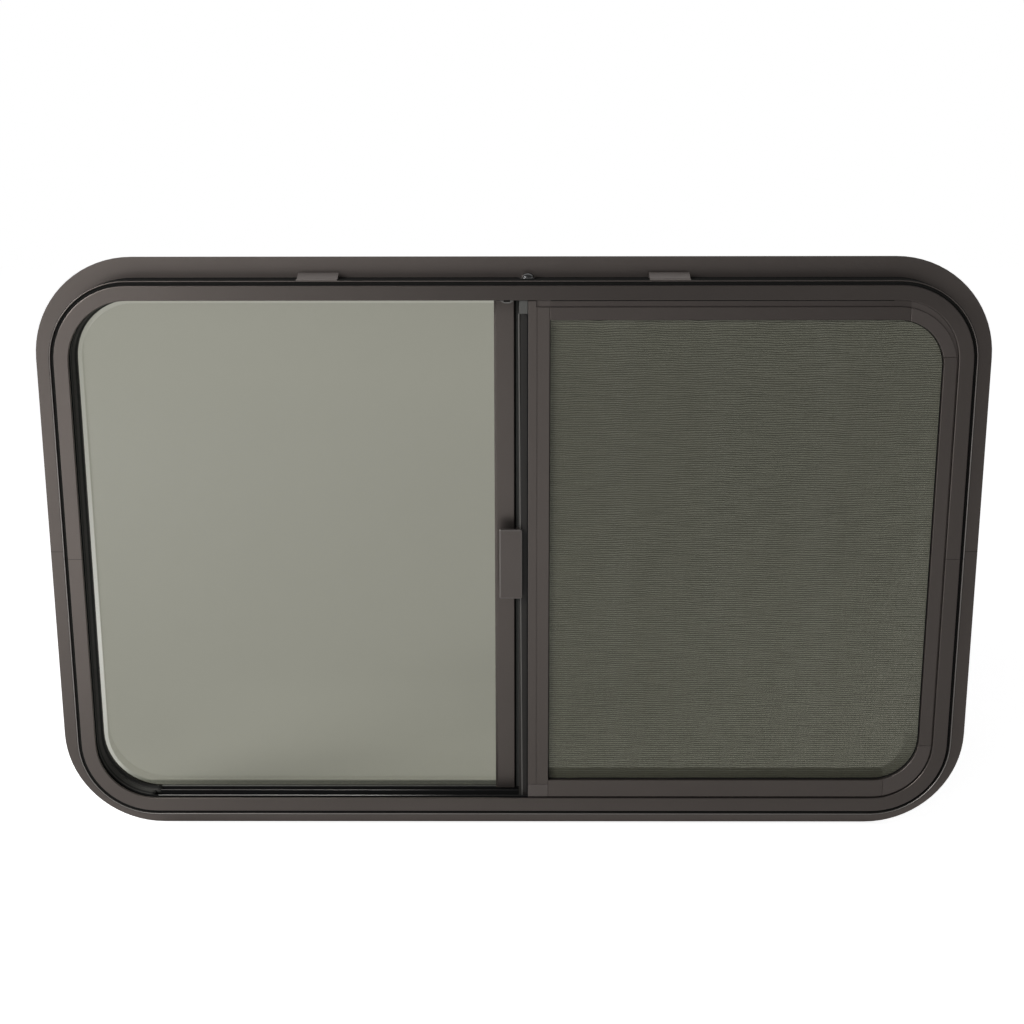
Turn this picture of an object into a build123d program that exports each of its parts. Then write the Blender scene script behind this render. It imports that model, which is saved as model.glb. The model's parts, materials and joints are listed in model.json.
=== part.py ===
from build123d import *
import math
import os

os.makedirs("parts", exist_ok=True)

# overall sizes in millimetres: X across, Y from the room side to the outside, Z up
frame_width = 965.0
frame_height = 610.0
corner_radius = 102.0
flange_strip = 20.8
flange_thick = 2.5
wall = 2.0

# the origin lies on the wall face of the lower flange strip
half_width = frame_width / 2
half_height = frame_height / 2
left = -half_width
centre_z = half_height - flange_strip / 2
top = centre_z + half_height
bottom = centre_z - half_height
arc_mid = corner_radius * (1 - math.sqrt(0.5))

# insets from the flange edge toward the middle of the window
outer_wall = 1.5
rim_edge = 25.6
rim_wide = 14.9
spine_out = 32.0
spine_in = spine_out + wall
rim_inner = rim_edge + rim_wide
lip_wide = 1.0
lip_inner = rim_inner + lip_wide

# depths: the room side is negative
rim_front = -28.8
rim_back = rim_front + wall
wall_front = -27.6
glass_thick = 3.2
fixed_front = 0.5
fixed_back = fixed_front + glass_thick
lip_back = fixed_back + wall
bead_start = 28.0
edge_break = 0.6
rim_round = 1.0
tip_round = outer_wall * 0.46

# track liner
liner_floor = 1.0
liner_in = spine_in + liner_floor
rib_thick = 1.4
rib_round = rib_thick * 0.45
front_rib = -21.7
rear_rib = -8.0
seal_inner = 42.0
seal_front = -2.0

# sash
run_clear = 1.1
sash_front = front_rib + rib_thick + run_clear
sash_back = rear_rib - 1.0
sash_inset = liner_in + 1.5
sash_left = 5.5
stile_width = 23.5
groove_edge = 5.0
sash_glass_front = -15.7
sash_glass_back = sash_glass_front + glass_thick
rail_past = 12.5
rail_end = half_width - corner_radius + rail_past
top_rail_show = 16.9
bottom_rail_show = 26.9
sash_open_top = half_height - rim_inner - top_rail_show
sash_open_bottom = bottom_rail_show + rim_inner - half_height
stile_chamfer = 2.0

# insect screen
screen_front = -27.8
screen_back = -22.5
screen_left = 15.1
screen_gap = 1.5
screen_head = 6.5
screen_right = half_width - rim_inner - screen_gap
screen_top = half_height - rim_inner - screen_head
screen_bottom = -(half_height - rim_inner - screen_gap)
screen_stile = 21.4
screen_rail = 13.0
screen_sill = 18.7
screen_radius = corner_radius - rim_inner - screen_gap
screen_round = 0.6
spline_in = 8.2
spline_wide = 1.0
stile_clear = 0.3
stile_top = half_height - rim_inner - stile_clear
tongue_front = -25.5
tongue_back = -23.0
tongue_rise = 9.0
tongue_side = 6.0
joint_side = 11.5
joint_head = 10.0
joint_sill = 2.0
joint_x = screen_right - screen_radius + joint_side
joint_upper = screen_top - screen_radius + joint_head
joint_lower = screen_bottom + screen_radius - joint_sill
block_height = 14.0

# planes that face the room, at the named depth
flange_plane = Plane(origin=(0, 0, centre_z), x_dir=(1, 0, 0), z_dir=(0, -1, 0))

# frame section, drawn at mid-height on the left and swept round each half
with BuildSketch(Plane.XY.offset(centre_z)) as frame_section:
    with BuildLine() as frame_outline:
        Polyline(
            (left, edge_break),
            (left + 1.6, flange_thick),
            (left + bead_start, flange_thick),
            (left + spine_in, lip_back),
            (left + lip_inner - edge_break, lip_back),
            (left + lip_inner, lip_back - edge_break),
            (left + lip_inner, fixed_back),
            (left + spine_in, fixed_back),
            (left + spine_in, rim_back),
            (left + rim_inner, rim_back),
            (left + rim_inner, rim_front),
            (left + rim_edge, rim_front),
            (left + rim_edge, rim_back),
            (left + spine_out, rim_back),
            (left + spine_out, 0),
            (left + flange_strip + outer_wall, 0),
            (left + flange_strip + outer_wall, wall_front),
            (left + flange_strip, wall_front),
            (left + flange_strip, 0),
            (left, 0),
            close=True,
        )
    make_face()
    fillet(frame_section.vertices().group_by(Axis.Y)[1], tip_round)
    fillet(frame_section.vertices().group_by(Axis.Y)[0], rim_round)

# black liner that carries the two track ribs and the glazing seal
with BuildSketch(Plane.XY.offset(centre_z)) as liner_section:
    with BuildLine() as liner_outline:
        Polyline(
            (left + spine_in, rim_back),
            (left + liner_in, rim_back),
            (left + liner_in, front_rib),
            (left + rim_inner, front_rib),
            (left + rim_inner, front_rib + rib_thick),
            (left + liner_in, front_rib + rib_thick),
            (left + liner_in, rear_rib),
            (left + rim_inner, rear_rib),
            (left + rim_inner, rear_rib + rib_thick),
            (left + liner_in, rear_rib + rib_thick),
            (left + liner_in, seal_front),
            (left + seal_inner, seal_front),
            (left + seal_inner, fixed_front),
            (left + spine_in, fixed_front),
            close=True,
        )
    make_face()
    rib_tips = liner_section.vertices().filter_by_position(Axis.X, left + rim_inner, left + rim_inner)
    fillet(rib_tips, rib_round)
    fillet(liner_section.vertices().group_by(Axis.X)[-1].sort_by(Axis.Y)[0], rib_round)

with BuildLine(Plane.XZ) as upper_path:
    Line((left, centre_z), (left, top - corner_radius))
    ThreePointArc((left, top - corner_radius), (left + arc_mid, top - arc_mid), (left + corner_radius, top))
    Line((left + corner_radius, top), (-left - corner_radius, top))
    ThreePointArc((-left - corner_radius, top), (-left - arc_mid, top - arc_mid), (-left, top - corner_radius))
    Line((-left, top - corner_radius), (-left, centre_z))

with BuildLine(Plane.XZ) as lower_path:
    Line((left, centre_z), (left, bottom + corner_radius))
    ThreePointArc((left, bottom + corner_radius), (left + arc_mid, bottom + arc_mid), (left + corner_radius, bottom))
    Line((left + corner_radius, bottom), (-left - corner_radius, bottom))
    ThreePointArc((-left - corner_radius, bottom), (-left - arc_mid, bottom + arc_mid), (-left, bottom + corner_radius))
    Line((-left, bottom + corner_radius), (-left, centre_z))

# screw down through the top of the frame beside the post
screw_x = 14.5
screw_y = -10.5
screw_r = 1.9
hole_r = screw_r + 0.1
washer_r = 8.4
washer_thick = 1.2
head_r = 6.4
head_high = 4.6
screw_low = half_height - liner_in
wall_top = half_height - flange_strip

with BuildPart() as upper_frame:
    sweep(sections=frame_section.sketch, path=upper_path.wires()[0])
    with BuildSketch(Plane.XY.offset(centre_z + screw_low)) as upper_frame_hole:
        with Locations((screw_x, screw_y)):
            Circle(hole_r)
    extrude(amount=wall_top - screw_low, mode=Mode.SUBTRACT)
upper_frame.part.label = "upper_frame"
export_step(upper_frame.part, "parts/upper_frame.step")

with BuildPart() as lower_frame:
    sweep(sections=frame_section.sketch, path=lower_path.wires()[0])
lower_frame.part.label = "lower_frame"
export_step(lower_frame.part, "parts/lower_frame.step")

with BuildPart() as upper_track:
    sweep(sections=liner_section.sketch, path=upper_path.wires()[0])
    with BuildSketch(Plane.XY.offset(centre_z + screw_low)) as upper_track_hole:
        with Locations((screw_x, screw_y)):
            Circle(hole_r)
    extrude(amount=wall_top - screw_low, mode=Mode.SUBTRACT)
upper_track.part.label = "upper_track"
export_step(upper_track.part, "parts/upper_track.step")

with BuildPart() as lower_track:
    sweep(sections=liner_section.sketch, path=lower_path.wires()[0])
lower_track.part.label = "lower_track"
export_step(lower_track.part, "parts/lower_track.step")

# dark filler in the sash channel round the left end of the frame
with BuildSketch(Plane.XY.offset(centre_z)) as filler_section:
    with Locations((left + liner_in, rear_rib)):
        Rectangle(rim_inner - liner_in, rear_rib - front_rib - rib_thick, align=(Align.MIN, Align.MAX))
with BuildLine(Plane.XZ) as filler_up:
    Line((left, centre_z), (left, top - corner_radius))
    ThreePointArc((left, top - corner_radius), (left + arc_mid, top - arc_mid), (left + corner_radius, top))
with BuildLine(Plane.XZ) as filler_down:
    Line((left, centre_z), (left, bottom + corner_radius))
    ThreePointArc((left, bottom + corner_radius), (left + arc_mid, bottom + arc_mid), (left + corner_radius, bottom))

with BuildPart() as upper_filler:
    sweep(sections=filler_section.sketch, path=filler_up.wires()[0])
upper_filler.part.label = "upper_filler"
export_step(upper_filler.part, "parts/upper_filler.step")

with BuildPart() as lower_filler:
    sweep(sections=filler_section.sketch, path=filler_down.wires()[0])
lower_filler.part.label = "lower_filler"
export_step(lower_filler.part, "parts/lower_filler.step")

# fixed pane on the left, with its right edge held in the centre post
glass_inset = 36.0
glass_end = -3.0
with BuildPart() as fixed_glass:
    with BuildSketch(flange_plane.offset(-fixed_back)) as fixed_glass_outline:
        RectangleRounded(frame_width - 2 * glass_inset, frame_height - 2 * glass_inset, corner_radius - glass_inset)
        with Locations((glass_end, 0)):
            Rectangle(frame_width, frame_height, align=(Align.MAX, Align.CENTER), mode=Mode.INTERSECT)
    extrude(amount=glass_thick)
fixed_glass.part.label = "fixed_glass"
export_step(fixed_glass.part, "parts/fixed_glass.step")

# centre post: flat bar in front of the pane edge, with a leg behind the sash
post_left = -19.3
post_bar = -16.8
post_right = 1.0
post_front = -4.5
post_chamfer = 2.2
post_leg = 15.0
post_back = fixed_back + 1.3
post_half = half_height - seal_inner
post_outer_half = half_height - lip_inner
with BuildPart() as centre_post:
    with BuildSketch(Plane.XY.offset(centre_z - post_half)) as centre_post_section:
        with BuildLine() as centre_post_outline:
            Polyline(
                (post_left, post_front + post_chamfer),
                (post_bar, post_front),
                (post_right, post_front),
                (post_right, -1.0),
                (post_leg, -1.0),
                (post_leg, 1.0),
                (post_right, 1.0),
                (post_right, fixed_back),
                (glass_end, fixed_back),
                (glass_end, fixed_front),
                (post_left, fixed_front),
                close=True,
            )
        make_face()
    extrude(amount=2 * post_half)
    with BuildSketch(Plane.XY.offset(centre_z - post_outer_half)) as centre_post_cover:
        with Locations((post_left, fixed_back)):
            Rectangle(post_right - post_left, post_back - fixed_back, align=(Align.MIN, Align.MIN))
    extrude(amount=2 * post_outer_half)
    post_edges = centre_post.edges().filter_by(Axis.Z).group_by(Axis.Y)[0]
    fillet(post_edges.sort_by(Axis.X)[-1], edge_break)
centre_post.part.label = "centre_post"
export_step(centre_post.part, "parts/centre_post.step")

# pile seal on the post leg, facing the back of the sash stile
with BuildPart() as post_seal:
    with BuildSketch(Plane.XY.offset(centre_z - post_half)) as post_seal_section:
        with Locations((8.0, -1.0)):
            Rectangle(4.0, -1.0 - rear_rib, align=(Align.MIN, Align.MAX))
    extrude(amount=2 * post_half)
post_seal.part.label = "post_seal"
export_step(post_seal.part, "parts/post_seal.step")

# half-round tab that hangs from the rim over the top of the post, with a slot in it
tab_x = -6.0
tab_drop = 3.1
tab_chord = 14.0
tab_r = (tab_chord * tab_chord / 4 + tab_drop * tab_drop) / (2 * tab_drop)
tab_step = 0.2
tab_round = 0.5
tab_slot_wide = 6.5
tab_slot_high = 1.4
tab_top = half_height - rim_inner
with BuildPart() as post_clip:
    with BuildSketch(flange_plane.offset(-rim_back)) as post_clip_outline:
        with Locations((tab_x, tab_top + tab_r - tab_drop)):
            Circle(tab_r)
        with Locations((tab_x, tab_top)):
            Rectangle(tab_chord, tab_drop, align=(Align.CENTER, Align.MAX), mode=Mode.INTERSECT)
        with Locations((tab_x, tab_top)):
            Rectangle(tab_slot_wide, tab_slot_high, align=(Align.CENTER, Align.MAX), mode=Mode.SUBTRACT)
    extrude(amount=wall - tab_step)
    fillet(post_clip.edges().group_by(Axis.Y)[0].filter_by(GeomType.CIRCLE), tab_round)
post_clip.part.label = "post_clip"
export_step(post_clip.part, "parts/post_clip.step")

# grey block that keeps the screen from sliding left
stop_left = 6.2
stop_right = screen_left - stile_clear
stop_high = 19.0
stop_low = half_height - liner_in - stop_high
stop_thick = 4.6
with BuildPart() as screen_stop:
    with BuildSketch(flange_plane.offset(-front_rib)) as screen_stop_outline:
        with Locations((stop_left, stop_low)):
            Rectangle(stop_right - stop_left, stop_high, align=(Align.MIN, Align.MIN))
    extrude(amount=stop_thick)
    fillet(screen_stop.edges().group_by(Axis.Y)[0], edge_break)
screen_stop.part.label = "screen_stop"
export_step(screen_stop.part, "parts/screen_stop.step")

with BuildPart() as frame_screw:
    with BuildSketch(Plane.XY.offset(centre_z + screw_low)) as frame_screw_shank:
        with Locations((screw_x, screw_y)):
            Circle(screw_r)
    extrude(amount=wall_top - screw_low)
    with BuildSketch(Plane.XY.offset(centre_z + wall_top)) as frame_screw_washer:
        with Locations((screw_x, screw_y)):
            Circle(washer_r)
    extrude(amount=washer_thick)
    with BuildSketch(Plane.XY.offset(centre_z + wall_top + washer_thick)) as frame_screw_head:
        with Locations((screw_x, screw_y)):
            RegularPolygon(head_r, 6)
    extrude(amount=head_high)
    fillet(frame_screw.edges().group_by(Axis.Z)[-1], edge_break)
frame_screw.part.label = "frame_screw"
export_step(frame_screw.part, "parts/frame_screw.step")

# two ramped spring clips on the top of the frame, which grip the wall panel
clip_wall = 1.0
clip_left_x = -0.2207 * frame_width
clip_right_x = 0.1394 * frame_width
clip_length = 40.0
clip_front = wall_front
clip_foot = -20.0
clip_back = -8.0
clip_rise = 5.6
clip_base = centre_z + wall_top
with BuildPart() as left_clip:
    with BuildSketch(Plane.YZ.offset(clip_left_x)) as left_clip_section:
        with BuildLine() as left_clip_outline:
            Polyline(
                (clip_front, clip_base),
                (clip_foot, clip_base),
                (clip_back, clip_base + clip_rise - clip_wall),
                (clip_back, clip_base),
                (clip_back + clip_wall, clip_base),
                (clip_back + clip_wall, clip_base + clip_rise),
                (clip_back, clip_base + clip_rise),
                (clip_foot - clip_wall, clip_base + clip_wall),
                (clip_front, clip_base + clip_wall),
                close=True,
            )
        make_face()
    extrude(amount=clip_length)
left_clip.part.label = "left_clip"
export_step(left_clip.part, "parts/left_clip.step")

with BuildPart() as right_clip:
    with BuildSketch(Plane.YZ.offset(clip_right_x)) as right_clip_section:
        with BuildLine() as right_clip_outline:
            Polyline(
                (clip_front, clip_base),
                (clip_foot, clip_base),
                (clip_back, clip_base + clip_rise - clip_wall),
                (clip_back, clip_base),
                (clip_back + clip_wall, clip_base),
                (clip_back + clip_wall, clip_base + clip_rise),
                (clip_back, clip_base + clip_rise),
                (clip_foot - clip_wall, clip_base + clip_wall),
                (clip_front, clip_base + clip_wall),
                close=True,
            )
        make_face()
    extrude(amount=clip_length)
right_clip.part.label = "right_clip"
export_step(right_clip.part, "parts/right_clip.step")

# insect screen: outlines shared by its members
screen_wide = screen_right - screen_left
screen_tall = screen_top - screen_bottom
with BuildSketch() as screen_face:
    with Locations((screen_left, screen_bottom)):
        Rectangle(screen_wide, screen_tall, align=(Align.MIN, Align.MIN))
    fillet(screen_face.vertices().group_by(Axis.X)[-1], screen_radius)
with BuildSketch() as screen_light:
    with Locations((screen_left + screen_stile, screen_bottom + screen_sill)):
        Rectangle(
            screen_wide - screen_stile - screen_rail,
            screen_tall - screen_sill - screen_rail,
            align=(Align.MIN, Align.MIN),
        )
    fillet(screen_light.vertices().group_by(Axis.X)[-1], screen_radius - screen_rail)
with BuildSketch() as screen_tongue:
    with Locations((screen_left, liner_in - half_height)):
        Rectangle(
            screen_wide + tongue_side,
            screen_top + tongue_rise + half_height - liner_in,
            align=(Align.MIN, Align.MIN),
        )
    fillet(screen_tongue.vertices().group_by(Axis.X)[-1], screen_radius + tongue_side)
screen_plane = flange_plane.offset(-screen_back)
tongue_plane = flange_plane.offset(-tongue_back)
screen_thick = screen_back - screen_front
tongue_thick = tongue_back - tongue_front
stile_right = screen_left + screen_stile
block_top = screen_bottom + block_height

with BuildPart() as screen_stile_bar:
    with BuildSketch(screen_plane) as stile_face:
        with Locations((screen_left, block_top)):
            Rectangle(screen_stile, screen_top - block_top, align=(Align.MIN, Align.MIN))
        with Locations((screen_left, block_top)):
            Rectangle(spline_in, stile_top - block_top, align=(Align.MIN, Align.MIN))
    extrude(amount=screen_thick)
    fillet(screen_stile_bar.edges().group_by(Axis.Y)[0], screen_round)
    with BuildSketch(flange_plane.offset(-screen_front)) as stile_groove:
        with Locations((screen_left + spline_in, block_top)):
            Rectangle(spline_wide, screen_top - block_top, align=(Align.MIN, Align.MIN))
    extrude(amount=-spline_wide, mode=Mode.SUBTRACT)
    with BuildSketch(tongue_plane) as stile_tongue:
        with Locations((screen_left, screen_top)):
            Rectangle(screen_stile, tongue_rise, align=(Align.MIN, Align.MIN))
    extrude(amount=tongue_thick)
screen_stile_bar.part.label = "screen_stile"
export_step(screen_stile_bar.part, "parts/screen_stile.step")

with BuildPart() as screen_block:
    with BuildSketch(screen_plane) as block_face:
        with Locations((screen_left, screen_bottom)):
            Rectangle(screen_stile, block_height, align=(Align.MIN, Align.MIN))
    extrude(amount=screen_thick)
    fillet(screen_block.edges().group_by(Axis.Y)[0], screen_round)
    with BuildSketch(tongue_plane) as block_tongue:
        with Locations((screen_left, liner_in - half_height)):
            Rectangle(screen_stile, screen_bottom + half_height - liner_in, align=(Align.MIN, Align.MIN))
    extrude(amount=tongue_thick)
screen_block.part.label = "screen_block"
export_step(screen_block.part, "parts/screen_block.step")

with BuildPart() as screen_top_rail:
    with BuildSketch(screen_plane) as top_face:
        add(screen_face.sketch)
        add(screen_light.sketch, mode=Mode.SUBTRACT)
        with Locations((stile_right, joint_upper)):
            Rectangle(joint_x - stile_right, frame_height, align=(Align.MIN, Align.MIN), mode=Mode.INTERSECT)
    extrude(amount=screen_thick)
    fillet(screen_top_rail.edges().group_by(Axis.Y)[0], screen_round)
    with BuildSketch(tongue_plane) as top_tongue:
        add(screen_tongue.sketch)
        add(screen_face.sketch, mode=Mode.SUBTRACT)
        with Locations((stile_right, joint_upper)):
            Rectangle(joint_x - stile_right, frame_height, align=(Align.MIN, Align.MIN), mode=Mode.INTERSECT)
    extrude(amount=tongue_thick)
screen_top_rail.part.label = "screen_top_rail"
export_step(screen_top_rail.part, "parts/screen_top_rail.step")

with BuildPart() as screen_upper_corner:
    with BuildSketch(screen_plane) as upper_corner_face:
        add(screen_face.sketch)
        add(screen_light.sketch, mode=Mode.SUBTRACT)
        with Locations((joint_x, joint_upper)):
            Rectangle(frame_width, frame_height, align=(Align.MIN, Align.MIN), mode=Mode.INTERSECT)
    extrude(amount=screen_thick)
    fillet(screen_upper_corner.edges().group_by(Axis.Y)[0], screen_round)
    with BuildSketch(tongue_plane) as upper_corner_tongue:
        add(screen_tongue.sketch)
        add(screen_face.sketch, mode=Mode.SUBTRACT)
        with Locations((joint_x, joint_upper)):
            Rectangle(frame_width, frame_height, align=(Align.MIN, Align.MIN), mode=Mode.INTERSECT)
    extrude(amount=tongue_thick)
screen_upper_corner.part.label = "screen_upper_corner"
export_step(screen_upper_corner.part, "parts/screen_upper_corner.step")

with BuildPart() as screen_side_rail:
    with BuildSketch(screen_plane) as side_face:
        add(screen_face.sketch)
        add(screen_light.sketch, mode=Mode.SUBTRACT)
        with Locations((joint_x, joint_lower)):
            Rectangle(frame_width, joint_upper - joint_lower, align=(Align.MIN, Align.MIN), mode=Mode.INTERSECT)
    extrude(amount=screen_thick)
    fillet(screen_side_rail.edges().group_by(Axis.Y)[0], screen_round)
    with BuildSketch(tongue_plane) as side_tongue:
        add(screen_tongue.sketch)
        add(screen_face.sketch, mode=Mode.SUBTRACT)
        with Locations((joint_x, joint_lower)):
            Rectangle(frame_width, joint_upper - joint_lower, align=(Align.MIN, Align.MIN), mode=Mode.INTERSECT)
    extrude(amount=tongue_thick)
screen_side_rail.part.label = "screen_side_rail"
export_step(screen_side_rail.part, "parts/screen_side_rail.step")

with BuildPart() as screen_lower_corner:
    with BuildSketch(screen_plane) as lower_corner_face:
        add(screen_face.sketch)
        add(screen_light.sketch, mode=Mode.SUBTRACT)
        with Locations((joint_x, joint_lower)):
            Rectangle(frame_width, frame_height, align=(Align.MIN, Align.MAX), mode=Mode.INTERSECT)
    extrude(amount=screen_thick)
    fillet(screen_lower_corner.edges().group_by(Axis.Y)[0], screen_round)
    with BuildSketch(tongue_plane) as lower_corner_tongue:
        add(screen_tongue.sketch)
        add(screen_face.sketch, mode=Mode.SUBTRACT)
        with Locations((joint_x, joint_lower)):
            Rectangle(frame_width, frame_height, align=(Align.MIN, Align.MAX), mode=Mode.INTERSECT)
    extrude(amount=tongue_thick)
screen_lower_corner.part.label = "screen_lower_corner"
export_step(screen_lower_corner.part, "parts/screen_lower_corner.step")

with BuildPart() as screen_bottom_rail:
    with BuildSketch(screen_plane) as bottom_face:
        add(screen_face.sketch)
        add(screen_light.sketch, mode=Mode.SUBTRACT)
        with Locations((stile_right, joint_lower)):
            Rectangle(joint_x - stile_right, frame_height, align=(Align.MIN, Align.MAX), mode=Mode.INTERSECT)
    extrude(amount=screen_thick)
    fillet(screen_bottom_rail.edges().group_by(Axis.Y)[0], screen_round)
    with BuildSketch(tongue_plane) as bottom_tongue:
        add(screen_tongue.sketch)
        add(screen_face.sketch, mode=Mode.SUBTRACT)
        with Locations((stile_right, joint_lower)):
            Rectangle(joint_x - stile_right, frame_height, align=(Align.MIN, Align.MAX), mode=Mode.INTERSECT)
    extrude(amount=tongue_thick)
screen_bottom_rail.part.label = "screen_bottom_rail"
export_step(screen_bottom_rail.part, "parts/screen_bottom_rail.step")

# insect mesh, taken as one thin sheet between the members
mesh_thick = 0.6
mesh_front = screen_back - mesh_thick
with BuildPart() as insect_mesh:
    with BuildSketch(flange_plane.offset(-mesh_front - mesh_thick)) as mesh_face:
        add(screen_light.sketch)
    extrude(amount=mesh_thick)
insect_mesh.part.label = "insect_mesh"
export_step(insect_mesh.part, "parts/insect_mesh.step")

# sliding sash: pane with rounded right corners, straight rails and a stile at its leading edge
sash_plane = flange_plane.offset(-sash_back)
sash_thick = sash_back - sash_front
stile_end = sash_left + stile_width
sash_half = half_height - sash_inset
with BuildSketch() as sash_pane:
    RectangleRounded(
        frame_width - 2 * sash_inset,
        frame_height - 2 * (sash_inset + groove_edge),
        corner_radius - sash_inset,
    )
    with Locations((sash_left + groove_edge, 0)):
        Rectangle(frame_width, frame_height, align=(Align.MIN, Align.CENTER), mode=Mode.INTERSECT)

with BuildSketch() as sash_outline:
    RectangleRounded(frame_width - 2 * sash_inset, 2 * sash_half, corner_radius - sash_inset)

with BuildPart() as sash_glass:
    with BuildSketch(flange_plane.offset(-sash_glass_back)) as sash_glass_face:
        add(sash_pane.sketch)
    extrude(amount=glass_thick)
sash_glass.part.label = "sash_glass"
export_step(sash_glass.part, "parts/sash_glass.step")

with BuildPart() as sash_bottom_rail:
    with BuildSketch(sash_plane) as sash_bottom_face:
        with Locations((stile_end, -sash_half)):
            Rectangle(rail_end - stile_end, sash_open_bottom + sash_half, align=(Align.MIN, Align.MIN))
        add(sash_outline.sketch, mode=Mode.INTERSECT)
    extrude(amount=sash_thick)
    with BuildSketch(flange_plane.offset(-sash_glass_back)) as sash_bottom_groove:
        add(sash_pane.sketch)
    extrude(amount=glass_thick, mode=Mode.SUBTRACT)
sash_bottom_rail.part.label = "sash_bottom_rail"
export_step(sash_bottom_rail.part, "parts/sash_bottom_rail.step")

with BuildPart() as sash_top_rail:
    with BuildSketch(sash_plane) as sash_top_face:
        with Locations((stile_end, sash_half)):
            Rectangle(rail_end - stile_end, sash_half - sash_open_top, align=(Align.MIN, Align.MAX))
        add(sash_outline.sketch, mode=Mode.INTERSECT)
    extrude(amount=sash_thick)
    with BuildSketch(flange_plane.offset(-sash_glass_back)) as sash_top_groove:
        add(sash_pane.sketch)
    extrude(amount=glass_thick, mode=Mode.SUBTRACT)
sash_top_rail.part.label = "sash_top_rail"
export_step(sash_top_rail.part, "parts/sash_top_rail.step")

with BuildPart() as sash_stile:
    with BuildSketch(sash_plane) as sash_stile_face:
        with Locations((sash_left, -sash_half)):
            Rectangle(stile_width, 2 * sash_half, align=(Align.MIN, Align.MIN))
    extrude(amount=sash_thick)
    with BuildSketch(flange_plane.offset(-sash_glass_back)) as sash_stile_groove:
        add(sash_pane.sketch)
    extrude(amount=glass_thick, mode=Mode.SUBTRACT)
    stile_edges = sash_stile.edges().filter_by(Axis.Z).group_by(Axis.Y)[0]
    chamfer(stile_edges.sort_by(Axis.X)[0], stile_chamfer)
sash_stile.part.label = "sash_stile"
export_step(sash_stile.part, "parts/sash_stile.step")

# pull: flat plate over the post, on a leg fixed to the side of the stile
pull_left = -14.4
pull_right = 9.2
pull_low = -42.5
pull_high = 31.5
pull_front = -28.4
pull_thick = 3.0
pull_leg = 3.0
pull_corner = 2.0
pull_round = 1.2
pull_back = pull_front + pull_thick
with BuildPart() as sash_pull:
    with BuildSketch(flange_plane.offset(-pull_back)) as sash_pull_plate:
        with Locations((pull_left, pull_low)):
            RectangleRounded(
                pull_right - pull_left,
                pull_high - pull_low,
                pull_corner,
                align=(Align.MIN, Align.MIN),
            )
    extrude(amount=pull_thick)
    fillet(sash_pull.edges().group_by(Axis.Y)[0], pull_round)
    with BuildSketch(Plane.XY.offset(centre_z + pull_low + pull_corner)) as sash_pull_leg:
        with BuildLine() as sash_pull_outline:
            Polyline(
                (pull_right, pull_back),
                (pull_right, sash_front),
                (sash_left, sash_front),
                (sash_left, sash_back),
                (sash_left - pull_leg, sash_back),
                (sash_left - pull_leg, pull_back),
                close=True,
            )
        make_face()
    extrude(amount=pull_high - pull_low - 2 * pull_corner)
sash_pull.part.label = "sash_pull"
export_step(sash_pull.part, "parts/sash_pull.step")

# glides under the sash
glide_length = 24.0
glide_high = sash_inset - liner_in - 0.3
glide_inset = 6.0
left_glide_in = 31.0
right_glide_in = 53.0
left_glide_x = stile_end + left_glide_in
right_glide_x = rail_end - right_glide_in
with BuildPart() as left_glide:
    with BuildSketch(sash_plane.offset(2.0)) as left_glide_face:
        with Locations((left_glide_x, -sash_half)):
            Rectangle(glide_length, glide_high, align=(Align.MIN, Align.MAX))
    extrude(amount=glide_inset)
left_glide.part.label = "left_glide"
export_step(left_glide.part, "parts/left_glide.step")

with BuildPart() as right_glide:
    with BuildSketch(sash_plane.offset(2.0)) as right_glide_face:
        with Locations((right_glide_x, -sash_half)):
            Rectangle(glide_length, glide_high, align=(Align.MIN, Align.MAX))
    extrude(amount=glide_inset)
right_glide.part.label = "right_glide"
export_step(right_glide.part, "parts/right_glide.step")
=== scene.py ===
import json
import math

import bmesh
import bpy
import numpy as np
from mathutils import Matrix, Vector


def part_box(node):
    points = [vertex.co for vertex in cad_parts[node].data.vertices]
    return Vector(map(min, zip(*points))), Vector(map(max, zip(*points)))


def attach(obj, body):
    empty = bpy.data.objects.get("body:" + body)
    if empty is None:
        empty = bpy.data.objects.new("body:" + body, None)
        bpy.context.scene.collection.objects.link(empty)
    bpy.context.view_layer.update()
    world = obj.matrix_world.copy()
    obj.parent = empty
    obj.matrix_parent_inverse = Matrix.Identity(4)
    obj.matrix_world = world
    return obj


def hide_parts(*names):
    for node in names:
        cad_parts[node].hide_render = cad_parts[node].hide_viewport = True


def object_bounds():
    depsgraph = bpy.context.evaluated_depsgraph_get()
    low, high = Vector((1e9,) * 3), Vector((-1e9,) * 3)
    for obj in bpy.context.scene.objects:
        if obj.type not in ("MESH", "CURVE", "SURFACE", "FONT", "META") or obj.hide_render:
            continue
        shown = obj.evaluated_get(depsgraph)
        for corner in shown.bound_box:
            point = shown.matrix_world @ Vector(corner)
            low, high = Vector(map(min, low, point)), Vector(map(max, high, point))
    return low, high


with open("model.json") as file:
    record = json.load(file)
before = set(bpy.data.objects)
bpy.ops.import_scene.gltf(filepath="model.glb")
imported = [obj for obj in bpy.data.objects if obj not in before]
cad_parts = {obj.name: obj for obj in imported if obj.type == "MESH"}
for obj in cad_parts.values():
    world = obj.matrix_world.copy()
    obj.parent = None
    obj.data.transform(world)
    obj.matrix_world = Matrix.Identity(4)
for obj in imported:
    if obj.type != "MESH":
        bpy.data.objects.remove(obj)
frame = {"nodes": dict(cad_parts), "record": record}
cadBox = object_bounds()
nodes = frame["nodes"]
scene = bpy.context.scene
print("window frame loaded:", len(nodes), "solids")

# the window's own outline, in metres: X across, Z up, Y from the room to the outside
window = {
    "halfWidth": 0.4825,
    "halfHeight": 0.305,
    "cornerRadius": 0.102,
    "middleHeight": 0.2946,    # height of the butt seam between the two frame halves
    "cornerSteps": 20,
    "anyDepth": 1.0,           # more than any depth here, so that depth doesn't count towards the inset
}


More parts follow.
